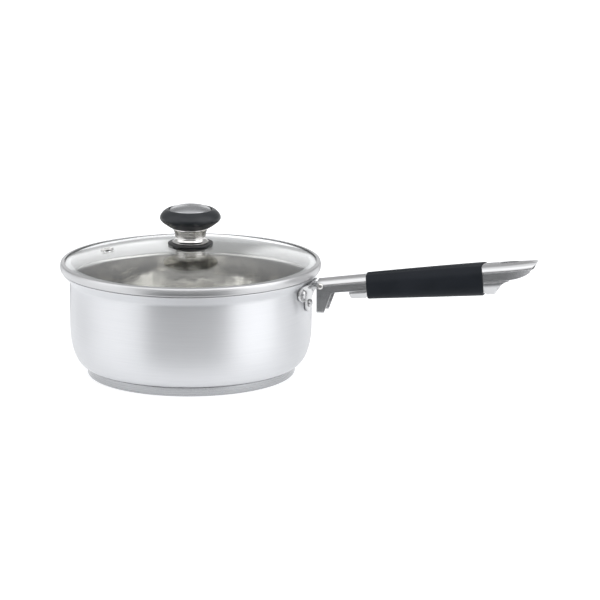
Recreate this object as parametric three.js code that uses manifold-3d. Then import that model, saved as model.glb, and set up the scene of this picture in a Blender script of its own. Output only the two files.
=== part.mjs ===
// A 20 cm stainless steel saucepan with a domed glass lid.
// The handle is two pressed shells in a soft sleeve, held to the pan by a riveted bracket.
// The lid is a glass dome in a rolled steel rim, with a vent eyelet and a screwed-on knob.
//
// Millimetres, +Z up. The origin is the middle of the base, on the surface that the pan
// stands on, and the handle points along +X.
import * as THREE from "three";
import { mergeVertices } from "three/addons/utils/BufferGeometryUtils.js";
import Module from "manifold-3d";

const wasm = await Module();
wasm.setup();

// ---------------------------------------------------------------- driving dimensions
const GAP = 0.3; // clearance between pieces that touch
const ROUND = 48; // facets round the pan and the lid
const SMALL_ROUND = 24; // facets round the knob
const TINY_ROUND = 16; // facets round screws and rivets

const PAN = {
  wall: 1.0,
  radius: 96.0, // outside of the straight wall
  footRadius: 81.0, // outside, where the wall leaves the base
  floor: 6.6, // underside of the pan's own floor
  footHeight: 7.5, // where the rounded lower wall starts
  straightFrom: 41.0, // where the wall turns vertical
  flareFrom: 74.0, // where the wall starts to lean out
  flareBend: 5.0, // radius of that bend
  flareAngle: THREE.MathUtils.degToRad(41), // lean of the flared lip
  rimRadius: 102.0,
};
const BASE = { radius: 82.6, height: 7.2, sheet: 0.8, corner: 2.0 };
const DOME = {
  apex: 103.9, // top of the glass at the axis
  sphere: 365.7, // outer radius of the spherical cap
  glass: 4.0,
  radius: 101.2,
  bore: 4.0, // hole for the knob's screw
};
const VENT = { from: 66.0, angle: THREE.MathUtils.degToRad(191), bore: 2.0, tube: 3.0, flange: 5.2 };
const RIM = { skirtOuter: 94.7, skirtInner: 93.9, skirtFoot: 77.4, seat: 83.9, lap: 1.9 }; // lap: fold over the glass
const KNOB = { screw: 2.5, insertOuter: 4.0, insertTop: 118.9, core: 9.0, underside: 117.2 };
const HANDLE = {
  start: 105.7,
  tip: 281.0,
  sheet: 1.0,
  rootHalfWidth: 7.6,
  endHalfWidth: 11.8,
  widestAt: 235.0,
  narrowFrom: 255.0, // the sides draw in from here to the tip
  tipHalfWidth: 6.5,
  corner: 5.0,
  crown: 0.8,
  gussetFoot: 56.3, // lowest point of the side plates at the root
};
const GRIP = { from: 145.6, to: 239.4, proud: 1.6, topShare: 0.55, recess: 1.2, endRound: 1.0, lean: 0.13 };
const SLOT = { from: 249.5, to: 266.0, halfWidth: 3.6 };
const FLANGE = { sheet: 1.8, foot: 55.5, footRadius: 7.5, earAt: 13.5, earRadius: 7.0, earHeight: 72.5 };
const RIVET = { shank: 2.2, hole: 2.6, head: 3.2, insideHead: 5.2, pair: 13.5, pairHeight: 71.8, soloHeight: 62.0 };
const CROSS_RIVET = { x: 108.6, z: 77.7, shank: 1.5, hole: 1.8, head: 2.6 };

// ---------------------------------------------------------------- finishes
const finish = (color, roughness, metalness, extra = {}) =>
  new THREE.MeshStandardMaterial({ color, roughness, metalness, ...extra });
const SATIN_STEEL = finish(0xc9cdd1, 0.35, 1.0);
const POLISHED_STEEL = finish(0xd2d3d4, 0.12, 1.0);
const ALUMINIUM = finish(0xb6b8ba, 0.5, 1.0);
const BRASS = finish(0xc2a050, 0.35, 1.0);
const PHENOLIC = finish(0x1d1f22, 0.35, 0.0);
const SILICONE = finish(0x141416, 0.6, 0.0);
const SLEEVE = finish(0x222428, 0.55, 0.0);
const GLASS = finish(0xdfe8e6, 0.05, 0.0, { transparent: true, opacity: 0.35 });

// ---------------------------------------------------------------- geometry helpers
const X = new THREE.Vector3(1, 0, 0);
const Y = new THREE.Vector3(0, 1, 0);
const Z = new THREE.Vector3(0, 0, 1);
const MINUS_Y = Y.clone().negate();
const move = (x, y, z) => new THREE.Matrix4().makeTranslation(x, y, z);
const turnY = (angle) => new THREE.Matrix4().makeRotationY(angle);
const turnZ = (angle) => new THREE.Matrix4().makeRotationZ(angle);

// A solid of revolution about Z, from [radius, height] points that run anticlockwise.
function turned(points, segments = ROUND) {
  const profile = points.map(([r, z]) => new THREE.Vector2(r, z));
  return new THREE.LatheGeometry(profile, segments).rotateX(Math.PI / 2);
}

const ring = (points, segments = ROUND) => turned([...points, points[0]], segments);

function solidOf(geometry) {
  const bare = geometry.clone();
  bare.deleteAttribute("normal");
  bare.deleteAttribute("uv");
  const merged = mergeVertices(bare, 1e-4);
  return new wasm.Manifold(
    new wasm.Mesh({
      numProp: 3,
      vertProperties: new Float32Array(merged.attributes.position.array),
      triVerts: new Uint32Array(merged.index.array),
    }),
  );
}

function geometryOf(solid) {
  const { vertProperties, triVerts } = solid.getMesh();
  const geometry = new THREE.BufferGeometry();
  geometry.setAttribute("position", new THREE.BufferAttribute(vertProperties, 3));
  geometry.setIndex(new THREE.BufferAttribute(triVerts, 1));
  geometry.computeVertexNormals();
  return geometry;
}

// A side outline in X and Z, as thick as the span either side of the XZ plane.
function sidePlate(shape, span) {
  const flat = new THREE.ExtrudeGeometry(shape, { depth: 2 * span, bevelEnabled: false, curveSegments: 8 });
  return flat.translate(0, 0, -span).applyMatrix4(new THREE.Matrix4().makeBasis(X, Z, MINUS_Y));
}

// A front outline in Y and Z, pushed along X from one station to the other.
function frontPlate(shape, from, to) {
  const flat = new THREE.ExtrudeGeometry(shape, { depth: to - from, bevelEnabled: false, curveSegments: 8 });
  return flat.translate(0, 0, from).applyMatrix4(new THREE.Matrix4().makeBasis(Y, Z, X));
}

const polygon = (points) => new THREE.Shape(points.map(([a, b]) => new THREE.Vector2(a, b)));

// A pin of one radius, standing on Z between two heights.
const pin = (radius, from, to, segments = TINY_ROUND) =>
  turned([[0, from], [radius, from], [radius, to], [0, to]], segments);

// Joins closed convex sections, one for each station along X, into a solid.
function loft(stations, sectionAt) {
  const sections = stations.map((x) => sectionAt(x).map(([y, z]) => new THREE.Vector3(x, y, z)));
  const count = sections[0].length;
  const points = sections.flat();
  const index = [];
  for (let i = 0; i + 1 < stations.length; i++) {
    for (let j = 0; j < count; j++) {
      const a = i * count + j;
      const b = i * count + ((j + 1) % count);
      index.push(a, b, b + count, a, b + count, a + count);
    }
  }
  const closeEnd = (first, facesForward) => {
    const centre = points.length;
    const loop = points.slice(first, first + count);
    points.push(loop.reduce((sum, p) => sum.add(p), new THREE.Vector3()).divideScalar(count));
    for (let j = 0; j < count; j++) {
      const a = first + j;
      const b = first + ((j + 1) % count);
      index.push(centre, ...(facesForward ? [a, b] : [b, a]));
    }
  };
  closeEnd(0, false);
  closeEnd((stations.length - 1) * count, true);
  return new THREE.BufferGeometry().setFromPoints(points).setIndex(index);
}

// ---------------------------------------------------------------- pan
// The straight wall and the flared lip, moved outwards by an offset, up to a given radius.
function lipLine(offset, from, toRadius) {
  const bend = PAN.flareBend - offset;
  const line = [[PAN.radius + offset, from]];
  const steps = 4;
  for (let i = 0; i <= steps; i++) {
    const a = (PAN.flareAngle * i) / steps;
    line.push([PAN.radius + PAN.flareBend - bend * Math.cos(a), PAN.flareFrom + bend * Math.sin(a)]);
  }
  const [r, z] = line[line.length - 1];
  line.push([toRadius, z + (toRadius - r) / Math.tan(PAN.flareAngle)]);
  return line;
}

// The rounded lower wall: a squarish quarter oval between the foot and the straight wall.
function bellyLine() {
  const steps = 7;
  const squareness = 2.25;
  const line = [];
  for (let i = 0; i <= steps; i++) {
    const a = (Math.PI / 2) * (i / steps);
    const out = Math.sin(a) ** (2 / squareness);
    const drop = Math.cos(a) ** (2 / squareness);
    line.push([
      PAN.footRadius + (PAN.radius - PAN.footRadius) * out,
      PAN.straightFrom - (PAN.straightFrom - PAN.footHeight) * drop,
    ]);
  }
  return line;
}

// The same line moved to its left by a distance, which is inwards on an anticlockwise profile.
function offsetLine(line, distance) {
  return line.map(([r, z], i) => {
    const before = line[Math.max(i - 1, 0)];
    const after = line[Math.min(i + 1, line.length - 1)];
    const along = new THREE.Vector2(after[0] - before[0], after[1] - before[1]).normalize();
    return [Math.max(r - along.y * distance, 0), z + along.x * distance];
  });
}

function panOutside() {
  return [[0, PAN.floor], [PAN.footRadius - 1.6, PAN.floor], ...bellyLine(), ...lipLine(0, PAN.flareFrom - 8, PAN.rimRadius)];
}

function panBody() {
  const outside = panOutside();
  const inside = offsetLine(outside, PAN.wall).reverse();
  inside[inside.length - 1][1] = PAN.floor + PAN.wall;
  return solidOf(turned([...outside, ...inside])).subtract(rivetHoles());
}

function baseCap() {
  const { radius, height, sheet, corner } = BASE;
  const inner = radius - sheet;
  const bevel = corner * (1 - Math.SQRT1_2);
  return turned([
    [0, 0], [radius - corner, 0], [radius - bevel, bevel], [radius, corner],
    [radius, height - 0.5], [radius - 0.3, height], [inner, height],
    [inner, corner + 0.4], [inner - 0.6, corner - 0.6], [inner - corner, sheet], [0, sheet],
  ]);
}

function baseCore() {
  const low = BASE.sheet + GAP;
  const high = PAN.floor - GAP;
  const edge = BASE.radius - BASE.sheet - 0.4;
  return turned([[0, low], [edge - 2, low], [edge, low + 2], [edge, high - 0.5], [edge - 0.5, high], [0, high]]);
}

// ---------------------------------------------------------------- handle bracket and rivets
const rivetPlaces = [-1, 1].map((side) => ({
  angle: side * Math.asin(RIVET.pair / PAN.radius),
  height: RIVET.pairHeight,
}));
rivetPlaces.push({ angle: 0, height: RIVET.soloHeight });

// Turns a piece that stands on Z so that it points straight out of the wall.
const outOfWall = ({ angle, height }) =>
  turnZ(angle).multiply(move(0, 0, height)).multiply(turnY(Math.PI / 2));

function rivetHoles() {
  const reach = [PAN.radius - 6, PAN.radius + 8];
  return rivetPlaces
    .map((place) => solidOf(pin(RIVET.hole, ...reach).applyMatrix4(outOfWall(place))))
    .reduce((all, hole) => all.add(hole));
}

function bracketRivet(place) {
  const inside = PAN.radius - PAN.wall;
  const face = PAN.radius + GAP + FLANGE.sheet;
  const { shank, head, insideHead } = RIVET;
  return turned([
    [0, inside - 1.8], [insideHead - 0.7, inside - 1.7], [insideHead, inside - 1.3], [insideHead, inside - 0.65],
    [shank, inside - 0.65], [shank, face + GAP], [head, face + GAP],
    [head - 0.3, face + 1.3], [head - 1.4, face + 2.0], [0, face + 2.3],
  ], TINY_ROUND).applyMatrix4(outOfWall(place));
}

// A wide pair of ears over a narrow foot.
function flangeOutline() {
  const { foot, footRadius, earAt, earRadius, earHeight } = FLANGE;
  const top = earHeight + earRadius;
  const shape = new THREE.Shape();
  shape.moveTo(footRadius, foot + footRadius);
  shape.quadraticCurveTo(footRadius, earHeight - earRadius, earAt, earHeight - earRadius);
  shape.absarc(earAt, earHeight, earRadius, -Math.PI / 2, Math.PI / 2, false);
  shape.lineTo(-earAt, top);
  shape.absarc(-earAt, earHeight, earRadius, Math.PI / 2, Math.PI * 1.5, false);
  shape.quadraticCurveTo(-footRadius, earHeight - earRadius, -footRadius, foot + footRadius);
  shape.absarc(0, foot + footRadius, footRadius, Math.PI, Math.PI * 2, false);
  return shape;
}

function handleBracket() {
  const low = FLANGE.foot - 2;
  const reach = PAN.rimRadius;
  const near = lipLine(GAP, low, reach);
  const far = lipLine(GAP + FLANGE.sheet, low, reach + FLANGE.sheet);
  const band = solidOf(ring([...far, ...near.reverse()]));
  const flange = band.intersect(solidOf(frontPlate(flangeOutline(), 80, 115)));
  const tongue = solidOf(sidePlate(
    polygon([[96, 74.2], [105, 74.2], [121, 76.6], [121, 82.2], [110, 80.4], [105, 79.6], [96, 78.2]]),
    HANDLE.rootHalfWidth - HANDLE.sheet - 2.4,
  ));
  const clear = lipLine(GAP, low, reach + 2);
  const panSide = solidOf(turned([[0, low], ...clear, [0, clear[clear.length - 1][1]]]));
  return flange.add(tongue).subtract(panSide).subtract(rivetHoles()).subtract(crossHole(CROSS_RIVET.hole));
}

// ---------------------------------------------------------------- handle
const smooth = (from, to, x) => THREE.MathUtils.smoothstep(x, from, to);

// The handle's top line is a shallow arch, and its bottom and parting lines are straight.
const topLine = (x) => 82.5 + 0.1625 * (x - HANDLE.start) - 0.000105 * (x - HANDLE.start) ** 2;
const partingLine = (x) => 76.0 + 0.139 * (x - 139.7);
const bottomLine = (x) => 68.8 + 0.0935 * (x - 139.7);

function halfWidth(x) {
  const { rootHalfWidth, endHalfWidth, start, widestAt, narrowFrom, tip, tipHalfWidth } = HANDLE;
  const widening = (endHalfWidth - rootHalfWidth) * smooth(start, widestAt, x);
  const narrowing = (endHalfWidth - tipHalfWidth) * (Math.max(x - narrowFrom, 0) / (tip - narrowFrom)) ** 2;
  return rootHalfWidth + widening - narrowing;
}

// The lower shell steps in where the sleeve covers it.
function shellBottom(x) {
  const into = THREE.MathUtils.clamp((x - (GRIP.from - 1.0)) / 1.5, 0, 1);
  const out = THREE.MathUtils.clamp((GRIP.to + 4.0 - x) / 1.5, 0, 1);
  return bottomLine(x) + GRIP.recess * Math.min(into, out);
}

// Half of an arched top: from the side up over the corner to the middle, at +Y.
function archPoints(half, top, corner, crown) {
  const points = [];
  const steps = 4;
  for (let i = 0; i <= steps; i++) {
    const a = (Math.PI / 2) * (i / steps);
    points.push([half - corner + corner * Math.cos(a), top - crown - corner + corner * Math.sin(a)]);
  }
  points.push([(half - corner) / 2, top - crown / 4]);
  return points;
}

// Half of a rounded trough: from the middle of the bottom out and up to the side, at +Y.
function troughPoints(half, high, bottom) {
  const steps = 6;
  const squareness = 2.6;
  const points = [];
  for (let i = 1; i <= steps; i++) {
    const a = (Math.PI / 2) * (i / steps);
    points.push([half * Math.sin(a) ** (2 / squareness), high - (high - bottom) * Math.cos(a) ** (2 / squareness)]);
  }
  return points;
}

const mirrored = (points) => points.map(([y, z]) => [-y, z]).reverse();

// The inside of the upper shell, or its outside, as a closed section at a station.
function upperSection(x, grow, low) {
  const arch = archPoints(halfWidth(x) + grow, topLine(x) + grow, HANDLE.corner + grow, HANDLE.crown);
  return [[halfWidth(x) + grow, low], ...arch, [0, topLine(x) + grow], ...mirrored(arch), [-halfWidth(x) - grow, low]];
}

function lowerSection(x, grow, high) {
  const seam = partingLine(x) - GAP;
  const trough = troughPoints(halfWidth(x) + grow, seam, shellBottom(x) - grow);
  const end = [halfWidth(x) + grow, high];
  return [[0, shellBottom(x) - grow], ...trough, end, [-end[0], end[1]], ...mirrored(trough)];
}

const shellStations = [
  HANDLE.start, 112, 118, 124, 129, 135, GRIP.from - 1, GRIP.from + 0.5, 155, 170, 185, 200, 218,
  GRIP.to + 2.5, GRIP.to + 4, 247, 252, 258, 261, 265, 269, 274, 278, HANDLE.tip,
];
const longer = (stations) => [stations[0] - 4, ...stations, stations[stations.length - 1] + 4];

function slotPin() {
  const shape = new THREE.Shape();
  const { from, to, halfWidth: r } = SLOT;
  shape.absarc(from + r, 0, r, Math.PI / 2, Math.PI * 1.5, false);
  shape.absarc(to - r, 0, r, -Math.PI / 2, Math.PI / 2, false);
  return new THREE.ExtrudeGeometry(shape, { depth: 40, bevelEnabled: false, curveSegments: 8 }).translate(0, 0, 98);
}

function crossHole(radius, half = 20) {
  return solidOf(pin(radius, -half, half).rotateX(-Math.PI / 2).translate(CROSS_RIVET.x, 0, CROSS_RIVET.z));
}

function handleUpperShell() {
  const { start, tip, gussetFoot, sheet } = HANDLE;
  const low = gussetFoot - 4;
  const outside = solidOf(loft(shellStations, (x) => upperSection(x, 0, low)));
  const inside = solidOf(loft(longer(shellStations), (x) => upperSection(x, -sheet, low - 4)));
  const side = new THREE.Shape();
  side.moveTo(start - 1, gussetFoot);
  side.lineTo(111.6, gussetFoot);
  side.lineTo(117.4, partingLine(117.4) - 1.2);
  side.quadraticCurveTo(118.5, partingLine(118.5), 120.5, partingLine(120.5));
  side.lineTo(258, partingLine(258));
  side.quadraticCurveTo(270.5, partingLine(270.5) - 0.3, 276.4, 99.0);
  side.lineTo(tip, topLine(tip) - 0.6);
  side.lineTo(tip, topLine(tip) + 4);
  side.lineTo(start - 1, topLine(tip) + 4);
  const outline = solidOf(sidePlate(side, 20));
  return outside.subtract(inside).intersect(outline).subtract(solidOf(slotPin())).subtract(crossHole(CROSS_RIVET.hole));
}

function handleLowerShell() {
  const stations = shellStations.filter((x) => x > 126 && x < 262);
  const outside = solidOf(loft(stations, (x) => lowerSection(x, 0, partingLine(x) - GAP)));
  const inside = solidOf(loft(longer(stations), (x) => lowerSection(x, -HANDLE.sheet, partingLine(x) + 3)));
  const side = new THREE.Shape();
  side.moveTo(132.3, 80);
  side.lineTo(132.3, 73.0);
  side.lineTo(134.5, 67);
  side.lineTo(247.5, 67);
  side.lineTo(247.5, 79.5);
  side.quadraticCurveTo(254.5, 90.5, 261, 92.0);
  side.lineTo(261, 100);
  side.lineTo(180, 100);
  return outside.subtract(inside).intersect(solidOf(sidePlate(side, 20)));
}

// Bottom of the lower shell where the sleeve covers it.
const recessedLine = (x) => bottomLine(x) + GRIP.recess;

// The sleeve is thinner over the top of the handle than round its sides and bottom.
function gripSection(x, grow) {
  const bottom = recessedLine(x) - grow;
  const seam = partingLine(x);
  const half = halfWidth(x) + grow;
  const top = topLine(x) + GAP + (grow - GAP) * GRIP.topShare;
  const arch = archPoints(half, top, HANDLE.corner + 1 + grow, HANDLE.crown);
  const trough = troughPoints(half, seam, bottom);
  return [[0, bottom], ...trough, ...arch, [0, top], ...mirrored(arch), ...mirrored(trough)];
}

// Leans the upright sections of the sleeve until they stand square across the sloping handle.
function squareToHandle(geometry) {
  const { position } = geometry.attributes;
  for (let i = 0; i < position.count; i++) {
    const x = position.getX(i);
    const shift = -GRIP.lean * (position.getZ(i) - (topLine(x) + bottomLine(x)) / 2);
    position.setX(i, x + shift);
    position.setZ(i, position.getZ(i) + GRIP.lean * shift);
  }
  return geometry;
}

function handleGrip() {
  const { from, to, proud, endRound } = GRIP;
  const stations = [from, from + 0.3, from + endRound, 155, 170, 185, 200, 218, to - endRound, to - 0.3, to];
  const growth = (x) => {
    const inset = Math.min(x - from, to - x, endRound) / endRound;
    return proud - endRound * (1 - Math.sqrt(1 - (1 - inset) ** 2)) * 0.9;
  };
  const outside = solidOf(squareToHandle(loft(stations, (x) => gripSection(x, growth(x)))));
  const bore = (x) => {
    const arch = archPoints(halfWidth(x) + GAP, topLine(x) + GAP, HANDLE.corner, HANDLE.crown);
    const bottom = recessedLine(x) - GAP;
    const trough = troughPoints(halfWidth(x) + GAP, partingLine(x) - 1, bottom);
    return [[0, bottom], ...trough, ...arch, [0, topLine(x) + GAP], ...mirrored(arch), ...mirrored(trough)];
  };
  return outside.subtract(solidOf(squareToHandle(loft([from - 0.9, ...stations.slice(3, -3), to + 0.9], bore))));
}

function rootRivet() {
  const { shank, head } = CROSS_RIVET;
  const side = halfWidth(CROSS_RIVET.x) + GAP;
  return turned([
    [0, -side - 1.3], [head - 0.9, -side - 1.1], [head, -side - 0.4], [head, -side], [shank, -side],
    [shank, side], [head, side], [head, side + 0.4], [head - 0.9, side + 1.1], [0, side + 1.3],
  ], TINY_ROUND).rotateX(-Math.PI / 2).translate(CROSS_RIVET.x, 0, CROSS_RIVET.z);
}

// ---------------------------------------------------------------- lid
// Height of a spherical shell that shares its centre with the dome's outer face.
const domeHeight = (radius, depth = 0) =>
  DOME.apex - DOME.sphere + Math.sqrt((DOME.sphere - depth) ** 2 - radius ** 2);

// Places a piece that stands on Z square through the glass at the vent.
function atVent() {
  const middle = DOME.sphere - DOME.glass / 2;
  const lean = turnY(Math.asin(VENT.from / middle));
  return turnZ(VENT.angle).multiply(move(0, 0, DOME.apex - DOME.sphere)).multiply(lean).multiply(move(0, 0, middle));
}

function lidGlass() {
  const { radius, bore, glass } = DOME;
  const stops = [bore, 25, 48, 68, 84, radius - 1];
  const under = stops.map((r) => [r, domeHeight(r, glass)]);
  const over = stops.map((r) => [r, domeHeight(r)]).reverse();
  const edge = [[radius, domeHeight(radius, glass) + 1], [radius, domeHeight(radius) - 1]];
  const disc = solidOf(ring([...under, ...edge, ...over]));
  return disc.subtract(solidOf(pin(VENT.tube + 0.4, -6, 6).applyMatrix4(atVent())));
}

// A rolled band: it folds over the edge of the glass, sits on the pan's lip, and its skirt drops inside.
function lidRim() {
  const { skirtOuter, skirtInner, skirtFoot, seat, lap } = RIM;
  const channel = DOME.radius + 0.4;
  const lapInner = channel - lap;
  const over = (r, lift) => domeHeight(r) + lift;
  const under = (r) => domeHeight(r, DOME.glass) - GAP;
  return ring([
    [skirtInner, skirtFoot + 0.5], [skirtInner + 0.4, skirtFoot], [skirtOuter, skirtFoot + 0.5],
    [skirtOuter, 84.6], [skirtOuter + 0.6, 85.2], [98.2, 85.2], [99.6, seat], [102.5, seat],
    [103.1, 84.6], [103.3, 86.4], [103.25, 88.2], [103.0, 89.6], [102.5, 90.4], [channel, over(channel, 1.1)],
    [lapInner + 0.4, over(lapInner + 0.4, 1.1)], [lapInner, over(lapInner, 0.9)], [lapInner, over(lapInner, GAP)],
    [channel, over(channel, GAP)], [channel, under(channel)], [skirtInner, under(skirtInner)],
  ]);
}

function ventEyelet() {
  const { bore, tube, flange } = VENT;
  const face = DOME.glass / 2 + GAP;
  return ring([
    [bore, -face - 0.5], [bore + 0.3, -face - 0.7], [flange - 0.3, -face - 0.6], [flange, -face], [tube, -face],
    [tube, face], [flange, face], [flange - 0.4, face + 0.5], [bore + 0.5, face + 0.8], [bore, face + 0.4],
  ], TINY_ROUND).applyMatrix4(atVent());
}

// ---------------------------------------------------------------- knob
const washer = (bore, radius, low, high, segments = SMALL_ROUND) =>
  ring([[bore, low], [radius - 0.4, low], [radius, low + 0.4], [radius, high - 0.4], [radius - 0.4, high], [bore, high]], segments);

const innerGasket = () => washer(KNOB.screw + 0.4, 14.0, 97.8, 99.3);
const screwWasher = () => washer(KNOB.screw + 0.4, 11.5, 96.2, 97.5);

function outerGasket() {
  const radius = 17.9;
  return ring([
    [4.3, domeHeight(4.3) + GAP], [radius - 0.4, domeHeight(radius) + GAP],
    [radius, 104.1], [radius, 104.8], [radius - 0.5, 105.2], [4.3, 105.2],
  ], SMALL_ROUND);
}

function knobStem() {
  const bore = KNOB.core + GAP;
  return ring([
    [bore, 105.5], [14.1, 105.5], [14.3, 105.8], [13.9, 106.4], [12.9, 107.3], [12.3, 108.6], [12.2, 110.2],
    [12.5, 112.4], [13.1, 114.6], [13.8, 116.4], [13.8, KNOB.underside - GAP], [bore, KNOB.underside - GAP],
  ], SMALL_ROUND);
}

function knobGrip() {
  const { insertOuter, insertTop, core, underside } = KNOB;
  const socket = insertOuter + GAP;
  return turned([
    [0, insertTop + GAP], [socket, insertTop + GAP], [socket, 105.8], [core, 105.8], [core, underside],
    [14.9, underside], [15.5, 117.5], [19.4, 120.0], [22.6, 122.4], [23.9, 124.2], [24.1, 125.6], [23.4, 127.6],
    [21.6, 129.9], [19.4, 131.6], [17.8, 132.0], [17.0, 131.5], [17.0, 130.4], [0, 130.4],
  ], SMALL_ROUND);
}

const knobCap = () =>
  turned([
    [0, 130.7], [16.3, 130.7], [16.6, 131.0], [16.6, 131.5], [15.6, 132.3], [12.6, 133.7], [8.6, 134.7], [4.4, 135.2],
    [0, 135.3],
  ], SMALL_ROUND);

const knobInsert = () =>
  ring([[KNOB.screw + GAP, 106.2], [KNOB.insertOuter, 106.2], [KNOB.insertOuter, KNOB.insertTop],
    [KNOB.screw + GAP, KNOB.insertTop]], TINY_ROUND);

function knobScrew() {
  const { screw } = KNOB;
  const foot = 93.4;
  const body = solidOf(turned([
    [0, foot], [3.4, foot], [4.8, foot + 1.1], [4.8, 95.9], [screw, 95.9], [screw, 117.6], [screw - 0.5, 118.2], [0, 118.2],
  ], TINY_ROUND));
  const arm = (length, width) => solidOf(new THREE.BoxGeometry(length, width, 3.2).translate(0, 0, foot));
  return body.subtract(arm(5.2, 1.1).add(arm(1.1, 5.2)));
}

// ---------------------------------------------------------------- assembly
const saucepan = new THREE.Group();

function addPiece(group, name, shape, material) {
  const mesh = new THREE.Mesh(shape.isBufferGeometry ? shape : geometryOf(shape), material);
  mesh.name = name;
  group.add(mesh);
}

const pan = new THREE.Group();
addPiece(pan, "pan_body", panBody(), SATIN_STEEL);
addPiece(pan, "base_cap", baseCap(), SATIN_STEEL);
addPiece(pan, "base_core", baseCore(), ALUMINIUM);
saucepan.add(pan);

const handle = new THREE.Group();
addPiece(handle, "handle_bracket", handleBracket(), POLISHED_STEEL);
rivetPlaces.forEach((place, i) => addPiece(handle, `bracket_rivet_${i + 1}`, bracketRivet(place), POLISHED_STEEL));
addPiece(handle, "root_rivet", rootRivet(), POLISHED_STEEL);
addPiece(handle, "handle_upper_shell", handleUpperShell(), POLISHED_STEEL);
addPiece(handle, "handle_lower_shell", handleLowerShell(), POLISHED_STEEL);
addPiece(handle, "handle_grip", handleGrip(), SLEEVE);
saucepan.add(handle);

const lid = new THREE.Group();
addPiece(lid, "lid_glass", lidGlass(), GLASS);
addPiece(lid, "lid_rim", lidRim(), POLISHED_STEEL);
addPiece(lid, "vent_eyelet", ventEyelet(), POLISHED_STEEL);
saucepan.add(lid);

const knob = new THREE.Group();
addPiece(knob, "knob_grip", knobGrip(), PHENOLIC);
addPiece(knob, "knob_cap", knobCap(), POLISHED_STEEL);
addPiece(knob, "knob_stem", knobStem(), POLISHED_STEEL);
addPiece(knob, "knob_insert", knobInsert(), BRASS);
addPiece(knob, "knob_screw", knobScrew(), POLISHED_STEEL);
addPiece(knob, "screw_washer", screwWasher(), POLISHED_STEEL);
addPiece(knob, "outer_gasket", outerGasket(), SILICONE);
addPiece(knob, "inner_gasket", innerGasket(), SILICONE);
saucepan.add(knob);

export default saucepan;
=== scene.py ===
"""A 20 cm stainless steel saucepan with a domed glass lid: fine meshes, finishes and a studio.

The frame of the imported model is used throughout: +Z up, the handle along +X, the middle of the
base at the origin. Outlines are worked out in millimetres and become metres in the meshes.
"""

import math

import bmesh
import bpy
from mathutils import Matrix, Vector


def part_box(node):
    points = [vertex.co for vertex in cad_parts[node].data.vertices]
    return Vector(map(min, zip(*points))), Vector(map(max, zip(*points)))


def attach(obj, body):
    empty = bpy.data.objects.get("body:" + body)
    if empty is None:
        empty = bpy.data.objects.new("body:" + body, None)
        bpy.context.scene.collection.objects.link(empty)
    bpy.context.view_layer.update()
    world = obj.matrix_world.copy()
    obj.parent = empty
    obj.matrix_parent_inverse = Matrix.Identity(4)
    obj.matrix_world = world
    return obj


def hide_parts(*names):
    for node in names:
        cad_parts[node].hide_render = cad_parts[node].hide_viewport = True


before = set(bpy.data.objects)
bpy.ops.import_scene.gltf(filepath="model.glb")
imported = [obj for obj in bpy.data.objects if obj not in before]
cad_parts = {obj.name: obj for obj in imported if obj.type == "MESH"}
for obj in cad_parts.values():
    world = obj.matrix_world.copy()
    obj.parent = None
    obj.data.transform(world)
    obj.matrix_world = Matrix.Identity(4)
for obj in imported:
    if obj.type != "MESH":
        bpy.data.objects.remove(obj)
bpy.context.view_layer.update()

MM = 0.001
FINE = 192  # facets round the pan and the lid
MEDIUM = 96  # facets round the knob
SMALL = 48  # facets round screws, rivets and the vent


def box_mm(node):
    """The lowest and highest corner of a node, in millimetres."""
    low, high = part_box(node)
    return low / MM, high / MM


# ---------------------------------------------------------------- sizes
pan_low, pan_high = box_mm("pan_body")
cap_high = box_mm("base_cap")[1]
glass_high = box_mm("lid_glass")[1]
upper_low, upper_high = box_mm("handle_upper_shell")
lower_low, lower_high = box_mm("handle_lower_shell")
flange_low = box_mm("handle_bracket")[0]
gasket_high = box_mm("outer_gasket")[1]
cross_low, cross_high = box_mm("root_rivet")

GAP = 0.3  # clearance between pieces that touch
SHEET = 1.0  # thickness of the pressed steel

WALL_RADIUS = pan_high.x - 6.0
FOOT_RADIUS = WALL_RADIUS - 15.0
PAN_FLOOR = pan_low.z
FOOT_HEIGHT = PAN_FLOOR + 0.9
BELLY_TOP = PAN_FLOOR + 34.4
FLARE_FOOT = 74.0
FLARE_BEND = 5.0
FLARE_LEAN = math.radians(41)
LIP_RADIUS = pan_high.x

DOME_SPHERE = 365.7
GLASS_THICK = 4.0
GLASS_RADIUS = glass_high.x
DOME_APEX = glass_high.z + 0.02
VENT_RADIUS = 66.0
VENT_ANGLE = math.radians(191)
VENT_HOLE = 3.4

HANDLE_START = upper_low.x
HANDLE_TIP = upper_high.x
ROOT_HALF = 7.6
END_HALF = upper_high.y
GUSSET_FOOT = upper_low.z
CORNER = 5.0  # radius of the handle's upper edges
CROWN = 0.8  # rise of its top across the width
WIDEST = 235.0  # where it reaches its full width
TAPER_FROM = 255.0  # where it starts to narrow again
TAPER = 5.3  # how far each side has come in at the tip
TOP_START, TOP_SLOPE, TOP_BEND = 82.5, 0.1625, 0.000105
LINES_FROM = 139.7  # where the heights of the next two lines are measured
PARTING_START, PARTING_SLOPE = 76.0, 0.139
BOTTOM_START, BOTTOM_SLOPE = 68.8, 0.0935
GUSSET_TO = 111.6  # the level foot beside the bracket ends here
GUSSET_RISEN = 117.4  # and the edge has risen to just under the parting line here
GUSSET_EASED = 120.5
GUSSET_UNDER = 1.2
NOSE_AT, NOSE_TOP = 132.3, 73.0  # a point of the lower shell's slanting front end
NOSE_SLOPE = 6.0 / 2.2
TAIL_FROM, TAIL_FOOT = 247.5, 79.5  # its back end rises in a curve
TAIL_CONTROL = (254.5, 90.5)
TAIL_TOP = 92.0
CUT_FROM, CUT_CONTROL = 258.0, 270.5  # the upper shell's edge leaves the parting line in a curve
GRIP_FROM = 145.6
GRIP_TO = 238.6
GRIP_PROUD = 1.6
GRIP_TOP_SHARE = 0.55  # of that thickness, over the top of the handle
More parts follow.
